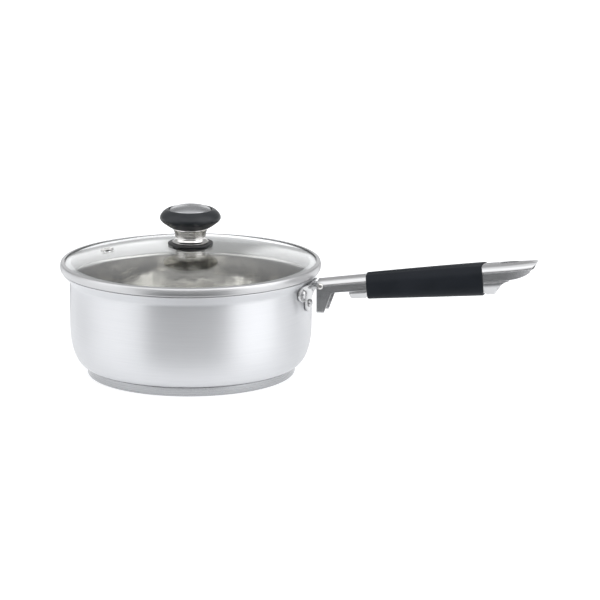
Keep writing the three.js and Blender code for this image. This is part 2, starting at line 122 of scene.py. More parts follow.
GRIP_RECESS = 1.2  # step of the lower shell under the sleeve
GRIP_LEAN = 0.08  # of its ends, which stand nearly square across the sloping handle
GRIP_DISH = 1.6  # how far both ends are moved on towards the tip at the sides
STEP_IN = (GRIP_FROM - 1.0, GRIP_FROM + 0.5)  # the lower shell steps up under the sleeve
STEP_OUT = (GRIP_TO + 2.5, GRIP_TO + 4.0)  # and down again after it
TIP_CUT = (276.4, 99.0)  # where the tip's slanting end starts
SLOT_FROM = 249.5
SLOT_TO = 266.0
SLOT_HALF = 3.6

FLANGE_SHEET = 1.8
RIVET_PAIR = 13.5
RIVET_PAIR_HEIGHT = 71.8
RIVET_LOW_HEIGHT = 62.0
HEAD_FULLNESS = 0.72  # the power that fills out a rivet head's dome


# ---------------------------------------------------------------- outlines
def rounded(points, steps=5):
    """An outline with its marked corners rounded: a corner's third number is its radius."""
    line = []
    for i, corner in enumerate(points):
        if len(corner) < 3:
            line.append(corner)
            continue
        here = Vector(corner[:2])
        back = Vector(points[i - 1][:2]) - here
        ahead = Vector(points[(i + 1) % len(points)][:2]) - here
        half = back.angle(ahead) / 2
        reach = min(corner[2] / math.tan(half), 0.49 * back.length, 0.49 * ahead.length)
        first = here + back.normalized() * reach
        last = here + ahead.normalized() * reach
        for k in range(steps + 1):
            t = k / steps
            a, b, c = (1 - t) ** 2, 2 * math.sin(half) * t * (1 - t), t * t
            line.append(tuple((first * a + here * b + last * c) / (a + b + c)))
    return line


def flowing(points, steps=6):
    """A smooth line through every point."""
    knots = [Vector(p) for p in points]
    knots = [2 * knots[0] - knots[1], *knots, 2 * knots[-1] - knots[-2]]
    line = []
    for a, b, c, d in zip(knots, knots[1:], knots[2:], knots[3:]):
        square = 2 * a - 5 * b + 4 * c - d
        cube = 3 * b - a - 3 * c + d
        for k in range(steps):
            t = k / steps
            line.append(0.5 * (2 * b + (c - a) * t + square * t ** 2 + cube * t ** 3))
    return [tuple(p) for p in [*line, knots[-2]]]


def offset_line(line, distance):
    """The same line moved to its left, which is inwards on an anticlockwise outline."""
    moved = []
    for i, (r, z) in enumerate(line):
        before = line[max(i - 1, 0)]
        after = line[min(i + 1, len(line) - 1)]
        along = Vector((after[0] - before[0], after[1] - before[1])).normalized()
        moved.append((max(r - along.y * distance, 0.0), z + along.x * distance))
    return moved


def wall_radius(height, offset=0.0):
    """Radius of the pan's outside at a height, or of a surface that far outside it."""
    bend = FLARE_BEND - offset
    if height <= FLARE_FOOT:
        return WALL_RADIUS + offset
    bend_top = bend * math.sin(FLARE_LEAN)
    rise = height - FLARE_FOOT
    if rise <= bend_top:
        return WALL_RADIUS + FLARE_BEND - math.sqrt(bend ** 2 - rise ** 2)
    return WALL_RADIUS + FLARE_BEND - bend * math.cos(FLARE_LEAN) + (rise - bend_top) * math.tan(FLARE_LEAN)


def dome_height(radius, depth=0.0):
    """Height of the dome's outer face at a radius, or of a face that far below it."""
    return DOME_APEX - DOME_SPHERE + math.sqrt((DOME_SPHERE - depth) ** 2 - radius ** 2)


def top_line(x):
    along = x - HANDLE_START
    return TOP_START + TOP_SLOPE * along - TOP_BEND * along ** 2


def parting_line(x):
    return PARTING_START + PARTING_SLOPE * (x - LINES_FROM)


def bottom_line(x):
    return BOTTOM_START + BOTTOM_SLOPE * (x - LINES_FROM)


def smooth(low, high, value):
    """From nought at low to one at high, level at both ends."""
    t = min(max((value - low) / (high - low), 0.0), 1.0)
    return t * t * (3 - 2 * t)


def half_width(x):
    widening = (END_HALF - ROOT_HALF) * smooth(HANDLE_START, WIDEST, x)
    narrowing = TAPER * (max(x - TAPER_FROM, 0.0) / (HANDLE_TIP - TAPER_FROM)) ** 2
    return ROOT_HALF + widening - narrowing


def shell_bottom(x):
    """The lower shell steps in where the sleeve covers it."""
    stepped = smooth(*STEP_IN, x) * smooth(STEP_OUT[1], STEP_OUT[0], x)
    return bottom_line(x) + GRIP_RECESS * stepped


def spaced(start, stop, count):
    """Evenly spaced values over count steps, with both ends."""
    return [start + (stop - start) * i / count for i in range(count + 1)]


# ---------------------------------------------------------------- meshes
def shade_mesh(mesh):
    """Smooth shading, broken at edges sharper than 30 degrees."""
    mesh.shade_smooth()
    mesh.set_sharp_from_angle(angle=math.radians(30))


def link_piece(name, mesh, materials):
    """A smooth-shaded object whose faces point outwards."""
    for material in materials:
        if material.name not in mesh.materials:
            mesh.materials.append(material)
    bm = bmesh.new()
    bm.from_mesh(mesh)
    bmesh.ops.remove_doubles(bm, verts=bm.verts, dist=1e-6)
    bmesh.ops.dissolve_degenerate(bm, edges=bm.edges, dist=1e-7)
    bmesh.ops.recalc_face_normals(bm, faces=bm.faces)
    bm.to_mesh(mesh)
    bm.free()
    shade_mesh(mesh)
    piece = bpy.data.objects.new(name, mesh)
    bpy.context.scene.collection.objects.link(piece)
    return piece


def settle(piece):
    """Makes the result of a piece's modifiers its own mesh."""
    bpy.context.view_layer.update()
    result = piece.evaluated_get(bpy.context.evaluated_depsgraph_get())
    mesh = bpy.data.meshes.new_from_object(result)
    piece.modifiers.clear()
    spent = piece.data
    piece.data = mesh
    bpy.data.meshes.remove(spent)
    shade_mesh(mesh)
    return piece


def grid_mesh(name, rows, wrap_rows=False, wrap_columns=False):
    """Quads between rows of points, in millimetres."""
    count = len(rows[0])
    points = [tuple(c * MM for c in p) for row in rows for p in row]
    faces = []
    for i in range(len(rows) if wrap_rows else len(rows) - 1):
        below = i * count
        above = ((i + 1) % len(rows)) * count
        for j in range(count if wrap_columns else count - 1):
            k = (j + 1) % count
            faces.append((below + j, below + k, above + k, above + j))
    mesh = bpy.data.meshes.new(name)
    mesh.from_pydata(points, [], faces)
    return mesh


def combine(piece, tool, operation):
    """Joins a tool mesh to a piece or cuts it away, and removes the tool."""
    modifier = piece.modifiers.new("combine", "BOOLEAN")
    modifier.operation = operation
    modifier.solver = "EXACT"
    modifier.object = tool
    settle(piece)
    bpy.data.objects.remove(tool)
    return piece


def thicken(piece):
    """Gives a surface its sheet thickness inwards."""
    shell = piece.modifiers.new("sheet", "SOLIDIFY")
    shell.thickness = SHEET * MM
    shell.offset = -1
    shell.use_even_offset = True
    return settle(piece)


def soften(piece, width):
    """Rounds a piece's edges that are sharper than 50 degrees."""
    bevel = piece.modifiers.new("edges", "BEVEL")
    bevel.width = width * MM
    bevel.segments = 2
    bevel.limit_method = "ANGLE"
    bevel.angle_limit = math.radians(50)
    return settle(piece)


def prism(name, outline, low, high, to_world):
    """A solid with a flat outline, between two depths, turned by to_world."""
    bm = bmesh.new()
    ends = []
    for depth in (low, high):
        ends.append([bm.verts.new(to_world @ (Vector((u, v, depth)) * MM)) for u, v in outline])
    bm.faces.new(ends[0])
    bm.faces.new(ends[1])
    for i in range(len(outline)):
        k = (i + 1) % len(outline)
        bm.faces.new((ends[0][i], ends[0][k], ends[1][k], ends[1][i]))
    mesh = bpy.data.meshes.new(name)
    bm.to_mesh(mesh)
    bm.free()
    return link_piece(name, mesh, [])


# Turns a flat outline's two axes to X and Z, with its depth along -Y.
SIDE_VIEW = Matrix(((1, 0, 0), (0, 0, -1), (0, 1, 0))).to_4x4()


# ---------------------------------------------------------------- node trees
def link_node(tree, kind, inputs=None, **settings):
    """A node with its settings, whose inputs are numbers or other nodes' sockets."""
    node = tree.nodes.new(kind)
    for name, value in settings.items():
        setattr(node, name, value)
    for name, value in (inputs or {}).items():
        socket = node.inputs[name]
        if isinstance(value, bpy.types.NodeSocket):
            tree.links.new(value, socket)
        else:
            socket.default_value = value
    return node


def maths(tree, operation, *values, kind="ShaderNodeMath"):
    """The result of an operation on numbers or other nodes' sockets."""
    return link_node(tree, kind, dict(enumerate(values)), operation=operation).outputs[0]


def ease(tree, value, low, high):
    """From nought at low to one at high, level at both ends."""
    return link_node(
        tree, "ShaderNodeMapRange", {"Value": value, "From Min": low, "From Max": high},
        interpolation_type="SMOOTHSTEP").outputs[0]


def shape_tree(name, sizes):
    """An empty tree for shapes, with a geometry, named sizes and a material coming in."""
    tree = bpy.data.node_groups.new(name, "GeometryNodeTree")
    tree.interface.new_socket("Geometry", in_out="INPUT", socket_type="NodeSocketGeometry")
    for label, kind in sizes:
        tree.interface.new_socket(label, in_out="INPUT", socket_type=kind)
    tree.interface.new_socket("Material", in_out="INPUT", socket_type="NodeSocketMaterial")
    tree.interface.new_socket("Geometry", in_out="OUTPUT", socket_type="NodeSocketGeometry")
    return tree, tree.nodes.new("NodeGroupInput").outputs


def finish_tree(tree, geometry, material):
    """Ends a shape's tree with plain faces in one finish."""
    real = link_node(tree, "GeometryNodeRealizeInstances", {"Geometry": geometry})
    painted = link_node(tree, "GeometryNodeSetMaterial", {"Geometry": real.outputs[0], "Material": material})
    link_node(tree, "NodeGroupOutput", {"Geometry": painted.outputs[0]})
    return tree


def grow(name, tree, source, sizes, material, extra=()):
    """Runs a shape's tree on a source mesh and returns the plain piece."""
    seed = bpy.data.objects.new(name, source)
    bpy.context.scene.collection.objects.link(seed)
    modifier = seed.modifiers.new(tree.name, "NODES")
    modifier.node_group = tree
    for item in tree.interface.items_tree:
        if item.in_out == "INPUT" and item.name in sizes:
            modifier[item.identifier] = sizes[item.name]
        elif item.in_out == "INPUT" and item.name == "Material":
            modifier[item.identifier] = material
    bpy.context.view_layer.update()
    result = seed.evaluated_get(bpy.context.evaluated_depsgraph_get())
    mesh = bpy.data.meshes.new_from_object(result)
    bpy.data.objects.remove(seed)
    mesh.materials.clear()
    mesh.polygons.foreach_set("material_index", [0] * len(mesh.polygons))
    return link_piece(name, mesh, [material, *extra])


def turning_tree():
    """Turns an outline in X and Z round the Z axis, and marks each point with its place in it."""
    tree, given = shape_tree("turned_on_z", [("Facets", "NodeSocketInt")])
    whole = "FunctionNodeIntegerMath"
    count = link_node(
        tree, "GeometryNodeAttributeDomainSize", {"Geometry": given["Geometry"]}).outputs["Point Count"]
    around = maths(tree, "ADD", given["Facets"], 1, kind=whole)
    grid = link_node(tree, "GeometryNodeMeshGrid", {"Vertices X": around, "Vertices Y": count})
    index = tree.nodes.new("GeometryNodeInputIndex").outputs[0]
    place = maths(tree, "MODULO", index, count, kind=whole)
    turn = maths(tree, "DIVIDE_FLOOR", index, count, kind=whole)
    position = tree.nodes.new("GeometryNodeInputPosition").outputs[0]
    outline = link_node(
        tree, "GeometryNodeSampleIndex",
        {"Geometry": given["Geometry"], "Value": position, "Index": place}, data_type="FLOAT_VECTOR")
    angle = maths(tree, "MULTIPLY", maths(tree, "DIVIDE", turn, given["Facets"]), math.tau)
    spun = link_node(
        tree, "ShaderNodeVectorRotate", {"Vector": outline.outputs["Value"], "Angle": angle},
        rotation_type="Z_AXIS")
    placed = link_node(
        tree, "GeometryNodeSetPosition", {"Geometry": grid.outputs["Mesh"], "Position": spun.outputs[0]})
    marked = link_node(
        tree, "GeometryNodeStoreNamedAttribute",
        {"Geometry": placed.outputs[0], "Name": "place", "Value": place}, data_type="INT", domain="POINT")
    closed = link_node(
        tree, "GeometryNodeMergeByDistance", {"Geometry": marked.outputs[0], "Distance": 1e-6})
    return finish_tree(tree, closed.outputs[0], given["Material"])


TURNING = turning_tree()


def turned(name, outline, material, facets=FINE, ring=False, inner=None, inner_from=0):
    """A body of revolution from [radius, height] points, with a second finish from one point on."""
    points = [*outline, outline[0]] if ring else outline
    source = bpy.data.meshes.new(name + "_outline")
    source.from_pydata([(r * MM, 0, z * MM) for r, z in points], [], [])
    piece = grow(name, TURNING, source, {"Facets": facets}, material, [inner] if inner else [])
    mesh = piece.data
    if inner:
        place = [mark.value for mark in mesh.attributes["place"].data]
        for face in mesh.polygons:
            face.material_index = int(min(place[v] for v in face.vertices) >= inner_from)
    mesh.attributes.remove(mesh.attributes["place"])
    return piece


def rivet_tree():
    """Sets a rivet at each point, along its direction: a shank between two domed heads."""
    sizes = ["Shank Radius", "Shank Length", "Head Radius", "Head Height", "Back Radius", "Back Height"]
    tree, given = shape_tree("rivets_on_points", [(label, "NodeSocketFloat") for label in sizes])

    def head(radius, height, rotation, along):
        ball = link_node(tree, "GeometryNodeMeshUVSphere", {"Segments": SMALL, "Rings": 24, "Radius": 1.0})
        position = tree.nodes.new("GeometryNodeInputPosition").outputs[0]
        spot = link_node(tree, "ShaderNodeSeparateXYZ", {0: position}).outputs
        full = maths(tree, "POWER", maths(tree, "MAXIMUM", spot["Z"], 0.0), HEAD_FULLNESS)
        dome = link_node(tree, "ShaderNodeCombineXYZ", {"X": spot["X"], "Y": spot["Y"], "Z": full})
        shaped = link_node(
            tree, "GeometryNodeSetPosition", {"Geometry": ball.outputs["Mesh"], "Position": dome.outputs[0]})
        size = link_node(tree, "ShaderNodeCombineXYZ", {"X": radius, "Y": radius, "Z": height})
        shift = link_node(tree, "ShaderNodeCombineXYZ", {"Z": along})
        return link_node(
            tree, "GeometryNodeTransform",
            {"Geometry": shaped.outputs[0], "Translation": shift.outputs[0], "Rotation": (rotation, 0, 0),
             "Scale": size.outputs[0]}).outputs[0]

    reach = maths(tree, "MULTIPLY", given["Shank Length"], 0.5)
    back = maths(tree, "MULTIPLY", reach, -1.0)
    shank = link_node(
        tree, "GeometryNodeMeshCylinder",
        {"Vertices": SMALL, "Radius": given["Shank Radius"], "Depth": given["Shank Length"]})
    rivet = tree.nodes.new("GeometryNodeJoinGeometry")
    for part in (head(given["Head Radius"], given["Head Height"], 0.0, reach),
                 head(given["Back Radius"], given["Back Height"], math.pi, back), shank.outputs["Mesh"]):
        tree.links.new(part, rivet.inputs[0])
    direction = link_node(
        tree, "GeometryNodeInputNamedAttribute", {"Name": "direction"}, data_type="FLOAT_VECTOR").outputs[0]
    aim = link_node(tree, "FunctionNodeAlignRotationToVector", {"Vector": direction}, axis="Z")
    set_out = link_node(
        tree, "GeometryNodeInstanceOnPoints",
        {"Points": given["Geometry"], "Instance": rivet.outputs[0], "Rotation": aim.outputs[0]})
    return finish_tree(tree, set_out.outputs[0], given["Material"])


RIVETS = rivet_tree()


def rivets(name, places, sizes, material):
    """Rivets at (point, direction) places, with sizes in millimetres."""
    source = bpy.data.meshes.new(name + "_places")
    source.from_pydata([tuple(Vector(point) * MM) for point, _ in places], [], [])
    aims = source.attributes.new("direction", "FLOAT_VECTOR", "POINT")
    for mark, (_, direction) in zip(aims.data, places):
        mark.vector = direction
    return grow(name, RIVETS, source, {label: size * MM for label, size in sizes.items()}, material)


# ---------------------------------------------------------------- finishes
def finish(name, base, roughness, metallic=0.0, **sockets):
    """A material whose even numbers sit on the shader's own sockets."""
    material = bpy.data.materials.new(name)
    material.use_nodes = True
    tree = material.node_tree
    shader = tree.nodes["Principled BSDF"]
    shader.inputs["Base Color"].default_value = (*base, 1)
    shader.inputs["Roughness"].default_value = roughness
    shader.inputs["Metallic"].default_value = metallic
    for label, value in sockets.items():
        shader.inputs[label.replace("_", " ")].default_value = value
    return material, tree, shader


def own_place(tree):
    """The piece's own coordinates."""
    return tree.nodes.new("ShaderNodeTexCoord").outputs["Object"]


def noise(tree, scale, stretch=(1, 1, 1), detail=3.0, place=None):
    """Noise on the piece's own coordinates, with its features drawn out by stretch."""
    mapping = link_node(tree, "ShaderNodeMapping", {"Vector": place or own_place(tree), "Scale": stretch})
    return link_node(
        tree, "ShaderNodeTexNoise",
        {"Vector": mapping.outputs[0], "Scale": scale, "Detail": detail}).outputs[0]


def spread(tree, value, low, high):
    """A noise value, which lies mostly between 0.3 and 0.7, spread from low to high."""
    return link_node(
        tree, "ShaderNodeMapRange",
        {"Value": value, "From Min": 0.3, "From Max": 0.7, "To Min": low, "To Max": high}).outputs[0]


def tint(tree, shader, value, dark, light):
    """Varies a shader's colour between dark and light with a noise value."""
    mix = link_node(
        tree, "ShaderNodeMix", {0: spread(tree, value, 0.0, 1.0), 6: (*dark, 1), 7: (*light, 1)},
        data_type="RGBA")
    tree.links.new(mix.outputs[2], shader.inputs["Base Color"])


def roughen(tree, shader, value, low, high):
    """Varies a shader's roughness from low to high with a noise value."""
    tree.links.new(spread(tree, value, low, high), shader.inputs["Roughness"])


def relief(tree, shader, height, distance, strength=1.0, under=None):
    """Raises a shader's surface by height, over an earlier relief."""
    bump = link_node(tree, "ShaderNodeBump", {"Height": height, "Distance": distance, "Strength": strength})
    if under:
        tree.links.new(under, bump.inputs["Normal"])
    tree.links.new(bump.outputs[0], shader.inputs["Normal"])
    return bump.outputs[0]


def ring_place(tree):
    """Coordinates that change with radius and height, and only slowly round the axis."""
    drift = 0.004
    place = own_place(tree)
    flat = maths(tree, "MULTIPLY", place, (1, 1, 0), kind="ShaderNodeVectorMath")
    radius = link_node(tree, "ShaderNodeVectorMath", {0: flat}, operation="LENGTH").outputs["Value"]
    parts = link_node(tree, "ShaderNodeSeparateXYZ", {0: place}).outputs
    edge = maths(tree, "ADD", radius, maths(tree, "MULTIPLY", parts["X"], drift))
    return link_node(tree, "ShaderNodeCombineXYZ", {"X": edge, "Z": parts["Z"]}).outputs[0]


def grain_round_axis(tree, shader):
    """Aims the shader's grain round the Z axis, with a quarter turn."""
    tangent = link_node(tree, "ShaderNodeTangent", direction_type="RADIAL", axis="Z")
    tree.links.new(tangent.outputs[0], shader.inputs["Tangent"])
    shader.inputs["Anisotropic Rotation"].default_value = 0.25


def satin_steel():
    """Brushed round the pan: fine lines along the circumference, and a soft upright glow."""
    material, tree, shader = finish("pan_satin", (0.62, 0.625, 0.64), 0.42, 1.0, Anisotropic=0.8)
    grain_round_axis(tree, shader)
    lines = noise(tree, 1.0, (26, 26, 5200), 3.0)
    clouds = noise(tree, 14.0, detail=2.0)
    tint(tree, shader, lines, (0.595, 0.60, 0.615), (0.64, 0.645, 0.658))
    roughen(tree, shader, clouds, 0.39, 0.45)
    relief(tree, shader, lines, 0.000004)
    return material


def inside_steel():
    """Polished inside of the pan: soft uneven waves, faint rings left by the wheel, and blotches of painted
    reflection in its colour.
    """
    material, tree, shader = finish("inside_steel", (0.70, 0.69, 0.66), 0.12, 1.0, Anisotropic=0.35)
    grain_round_axis(tree, shader)
    lines = noise(tree, 900.0, (1, 1, 1), 2.0, ring_place(tree))
    swirls_and_painted_reflections = noise(tree, 34.0, detail=2.0)
    # painted reflection: the colour swings from dark to light with the swirls, standing in for what the
    # polished inside reflects
    tint(tree, shader, swirls_and_painted_reflections, (0.50, 0.49, 0.465), (0.72, 0.705, 0.675))
    roughen(tree, shader, lines, 0.05, 0.09)
    first = relief(tree, shader, swirls_and_painted_reflections, 0.0007)
    relief(tree, shader, lines, 0.000006, under=first)
    return material


def shaded_turned_steel():
    """Face-turned steel: close rings about the axis, on a base colour kept darker than the pan's steel as
    painted shade for the floor's contact shadow in its reflections.
    """
    # painted shade: the dark base colour stands in for the contact shadow that the glowing floor leaves out
    # of the base cover's reflections
    material, tree, shader = finish("shaded_turned_steel", (0.38, 0.385, 0.395), 0.26, 1.0, Anisotropic=0.6)
    grain_round_axis(tree, shader)
    rings = noise(tree, 2600.0, (1, 1, 1), 2.0, ring_place(tree))
    tint(tree, shader, rings, (0.36, 0.365, 0.375), (0.40, 0.405, 0.415))
    roughen(tree, shader, rings, 0.22, 0.30)
    relief(tree, shader, rings, 0.000006)
    return material


def bright_steel():
    """Pressed and polished steel of the handle and its bracket, with a faint lengthwise grain."""
    material, tree, shader = finish("bright_steel", (0.54, 0.54, 0.545), 0.24, 1.0)
    grain = noise(tree, 1.0, (40, 1800, 1800), 2.0)
    waves = noise(tree, 60.0, detail=1.0)
    tint(tree, shader, grain, (0.53, 0.53, 0.535), (0.55, 0.55, 0.555))
    roughen(tree, shader, grain, 0.22, 0.27)
    first = relief(tree, shader, waves, 0.00004)
    relief(tree, shader, grain, 0.000002, under=first)
    return material


def mirror_steel():
    """Mirror-polished neck, vent, cross rivet, screw and washer."""
    material, tree, shader = finish("mirror_steel", (0.60, 0.59, 0.575), 0.07, 1.0)
    marks = noise(tree, 420.0, detail=3.0)
    waves = noise(tree, 90.0, detail=0.0)
    tint(tree, shader, waves, (0.55, 0.54, 0.52), (0.65, 0.64, 0.63))
    roughen(tree, shader, marks, 0.05, 0.09)
    relief(tree, shader, waves, 0.00006)
    return material


def rim_steel():
    """Buffed rim of the lid: a little darker than the pan, and much softer than a mirror."""
    material, tree, shader = finish("rim_steel", (0.53, 0.53, 0.535), 0.38, 1.0, Anisotropic=0.4)
    grain_round_axis(tree, shader)
    lines = noise(tree, 1500.0, (1, 1, 1), 2.0, ring_place(tree))
    tint(tree, shader, lines, (0.51, 0.51, 0.515), (0.55, 0.55, 0.555))
    roughen(tree, shader, lines, 0.35, 0.41)
    relief(tree, shader, lines, 0.000004)
    return material


def soft_sleeve():
    """Black sleeve with a fine matt skin."""
    material, tree, shader = finish("soft_sleeve", (0.007, 0.009, 0.012), 0.5, Specular_IOR_Level=0.13)
    skin = noise(tree, 2200.0, detail=2.0)
    cloud = noise(tree, 45.0, detail=3.0)
    tint(tree, shader, cloud, (0.006, 0.008, 0.011), (0.009, 0.011, 0.015))
    roughen(tree, shader, cloud, 0.46, 0.56)
    relief(tree, shader, skin, 0.00003, 0.6)
    return material


def moulded_phenolic():
    """Black moulded resin, half gloss with faint flow marks."""
    material, tree, shader = finish("moulded_phenolic", (0.009, 0.011, 0.013), 0.36, Specular_IOR_Level=0.3)
    flow = noise(tree, 90.0, (1, 1, 2.4), 3.0)
    skin = noise(tree, 1700.0, detail=2.0)
    tint(tree, shader, flow, (0.008, 0.010, 0.012), (0.014, 0.016, 0.019))
    roughen(tree, shader, flow, 0.31, 0.41)
    relief(tree, shader, skin, 0.00001, 0.5)
    return material


def black_silicone():
    """Black silicone with a little dust in its skin."""
    material, tree, shader = finish("black_silicone", (0.012, 0.012, 0.013), 0.45, Specular_IOR_Level=0.45)
    dust = noise(tree, 700.0, detail=3.0)
    tint(tree, shader, dust, (0.010, 0.010, 0.011), (0.018, 0.018, 0.020))
    roughen(tree, shader, dust, 0.4, 0.55)
    relief(tree, shader, dust, 0.00002, 0.5)
    return material


def cast_aluminium():
    """Grey cast metal of the base's core."""
    material, tree, shader = finish("cast_aluminium", (0.68, 0.69, 0.70), 0.5, 1.0)
    grain = noise(tree, 500.0, detail=4.0)
    tint(tree, shader, grain, (0.60, 0.61, 0.62), (0.74, 0.75, 0.76))
    roughen(tree, shader, grain, 0.42, 0.6)
    relief(tree, shader, grain, 0.00002, 0.5)
    return material


def turned_brass():
    """Brass of the knob's insert, with rings about its axis."""
    material, tree, shader = finish("turned_brass", (0.74, 0.58, 0.30), 0.3, 1.0)
    rings = noise(tree, 2600.0, (1, 1, 1), 2.0, ring_place(tree))
    tint(tree, shader, rings, (0.68, 0.52, 0.25), (0.80, 0.64, 0.35))
    roughen(tree, shader, rings, 0.24, 0.38)
    relief(tree, shader, rings, 0.00001, 0.5)
    return material


def clear_glass():
    """Tempered glass that lets the lamps light what is under it."""
    material, tree, shader = finish("clear_glass", (0.97, 0.98, 0.98), 0.0, Transmission_Weight=1.0, IOR=1.5)
    film = noise(tree, 30.0, detail=4.0)
    tint(tree, shader, film, (0.955, 0.97, 0.97), (0.98, 0.99, 0.99))
    waves = noise(tree, 11.0, detail=0.0)
    relief(tree, shader, waves, 0.00012)
    clear = link_node(tree, "ShaderNodeBsdfTransparent", {"Color": (0.93, 0.955, 0.945, 1)})
    shadow = tree.nodes.new("ShaderNodeLightPath").outputs["Is Shadow Ray"]
    mix = link_node(tree, "ShaderNodeMixShader", {0: shadow, 1: shader.outputs[0], 2: clear.outputs[0]})
    tree.links.new(mix.outputs[0], tree.nodes["Material Output"].inputs["Surface"])
    return material


SATIN = satin_steel()
INSIDE = inside_steel()
SHADED_TURNED = shaded_turned_steel()
BRIGHT = bright_steel()
MIRROR = mirror_steel()
RIM = rim_steel()
SLEEVE = soft_sleeve()
PHENOLIC = moulded_phenolic()
SILICONE = black_silicone()
GLASS = clear_glass()


# ---------------------------------------------------------------- pan
def belly_line(steps=26):
    """The rounded lower wall: a squarish quarter oval."""
    power = 2 / 2.25
    line = []
    for angle in spaced(0, math.pi / 2, steps):
        out = math.sin(angle) ** power
        drop = max(math.cos(angle), 0.0) ** power
        radius = FOOT_RADIUS + (WALL_RADIUS - FOOT_RADIUS) * out
        line.append((radius, BELLY_TOP - (BELLY_TOP - FOOT_HEIGHT) * drop))
    return line


def lip_line(steps=10):
    """The upright wall, its bend and the flare up to the lip."""
    line = [(WALL_RADIUS, FLARE_FOOT - 16), (WALL_RADIUS, FLARE_FOOT - 4)]
    for angle in spaced(0, FLARE_LEAN, steps):
        radius = WALL_RADIUS + FLARE_BEND * (1 - math.cos(angle))
        line.append((radius, FLARE_FOOT + FLARE_BEND * math.sin(angle)))
    r, z = line[-1]
    edge = LIP_RADIUS - SHEET * 0.12
    return [*line, (edge, z + (edge - r) / math.tan(FLARE_LEAN))]


def pan_shell():
    """The drawn pan: one sheet with a rounded lip, satin outside and polished inside."""
    bottom = [(r, PAN_FLOOR) for r in (0, 30, 60, FOOT_RADIUS - 3, FOOT_RADIUS - 1.6)]
    outside = [*bottom, *belly_line(), *lip_line()]
    inside = offset_line(outside, SHEET)[::-1]
    inside[-1] = (0, PAN_FLOOR + SHEET)
    along = Vector(outside[-1]) - Vector(outside[-2])
    along.normalize()
    middle = (Vector(outside[-1]) + Vector(inside[0])) / 2
    across = Vector(outside[-1]) - middle
    lip = []
    for a in spaced(0, math.pi, 8):
        lip.append(tuple(middle + across * math.cos(a) + along * across.length * math.sin(a)))
    outline = [*outside[:-1], *lip, *inside[1:]]
    return turned("pan_shell", outline, SATIN, inner=INSIDE, inner_from=len(outside) + 4)


def base_cover():
    """The shallow steel cup under the base, with one pressed ring."""
    radius, height = cap_high.x, cap_high.z
    thick = 0.8
    inner = radius - thick
    # its finish is darkened as painted shade, in place of the floor's contact shadow in its reflections
    return turned("base_cover", rounded([
        (0, 0), (24, 0), (24.6, 0.25, 0.4), (27.4, 0.25, 0.4), (28, 0), (radius - 6, 0), (radius, 0, 2.0),
        (radius, height, 0.35), (inner, height, 0.35), (inner, thick, 1.2), (0, thick),
    ], 6), SHADED_TURNED)


# ---------------------------------------------------------------- bracket and rivets
def flange_outline(steps=10):
    """A wide pair of ears over a narrow foot, in Y and Z."""
    foot_radius, ear_radius, ear_height = 7.5, 7.0, 72.5
    foot_middle = flange_low.z + foot_radius
    half = []
    for a in spaced(0, math.pi / 2, steps):
        half.append((foot_radius * math.sin(a), foot_middle - foot_radius * math.cos(a)))
    ear_foot = ear_height - ear_radius
    for t in spaced(0.1, 0.9, 8):
        y = foot_radius * (1 - t) ** 2 + 2 * foot_radius * t * (1 - t) + RIVET_PAIR * t * t
        half.append((y, foot_middle * (1 - t) ** 2 + ear_foot * (1 - (1 - t) ** 2)))
    for a in spaced(-math.pi / 2, math.pi / 2, 2 * steps):
        half.append((RIVET_PAIR + ear_radius * math.cos(a), ear_height + ear_radius * math.sin(a)))
    half += [(y, ear_height + ear_radius) for y in (10, 7, 4, 0)]
    return [*half, *[(-y, z) for y, z in half[-2:0:-1]]]


def bracket_plate():
    """A flange that hugs the wall and its flare, with a tongue into the handle."""
    outline = flange_outline()
    count = len(outline)
    edge = 0.6  # radius of the flange's outer edge
    back_edge = 0.15  # and of the edge against the wall
    normals = []
    for i in range(count):
        along = Vector(outline[(i + 1) % count]) - Vector(outline[i - 1])
        normals.append(Vector((-along.y, along.x)).normalized())
    middle = Vector((0, 68.5))

    def ring_at(share, inset, offset):
        points = []
        for (y, z), inward in zip(outline, normals):
            here = middle + (Vector((y, z)) + inward * inset - middle) * share
            radius = wall_radius(here.y, offset)
            points.append((math.sqrt(radius ** 2 - here.x ** 2), here.x, here.y))
        return points

    face = GAP + FLANGE_SHEET
    rings = [ring_at(share, edge, face) for share in (0.0, 0.12, 0.25, 0.4, 0.55, 0.7, 0.82, 0.92)]
    for angle in spaced(0, math.pi / 2, 4):
        rings.append(ring_at(1.0, edge * (1 - math.sin(angle)), face - edge * (1 - math.cos(angle))))
    rings.append(ring_at(1.0, 0.0, GAP + back_edge))
    rings += [ring_at(share, back_edge, GAP) for share in (1.0, 0.92, 0.8, 0.65, 0.5, 0.35, 0.2, 0.0)]
    plate = link_piece("bracket_plate", grid_mesh("bracket_plate", rings, wrap_columns=True), [BRIGHT])
    root = [(wall_radius(z, 1.1) + 0.1, z) for z in (78.9, 78.0, 77.0, 76.0, 75.0, 74.2)]
    tip = [(105, 74.2, 3), (120.5, 76.6, 0.6), (120.5, 82.0, 0.6), (110, 80.4, 4), (104, 79.4, 3)]
    tongue = prism("tongue", rounded([*root, *tip]), -4.2, 4.2, SIDE_VIEW)
    soften(tongue, 0.7)
    return combine(plate, tongue, "UNION")


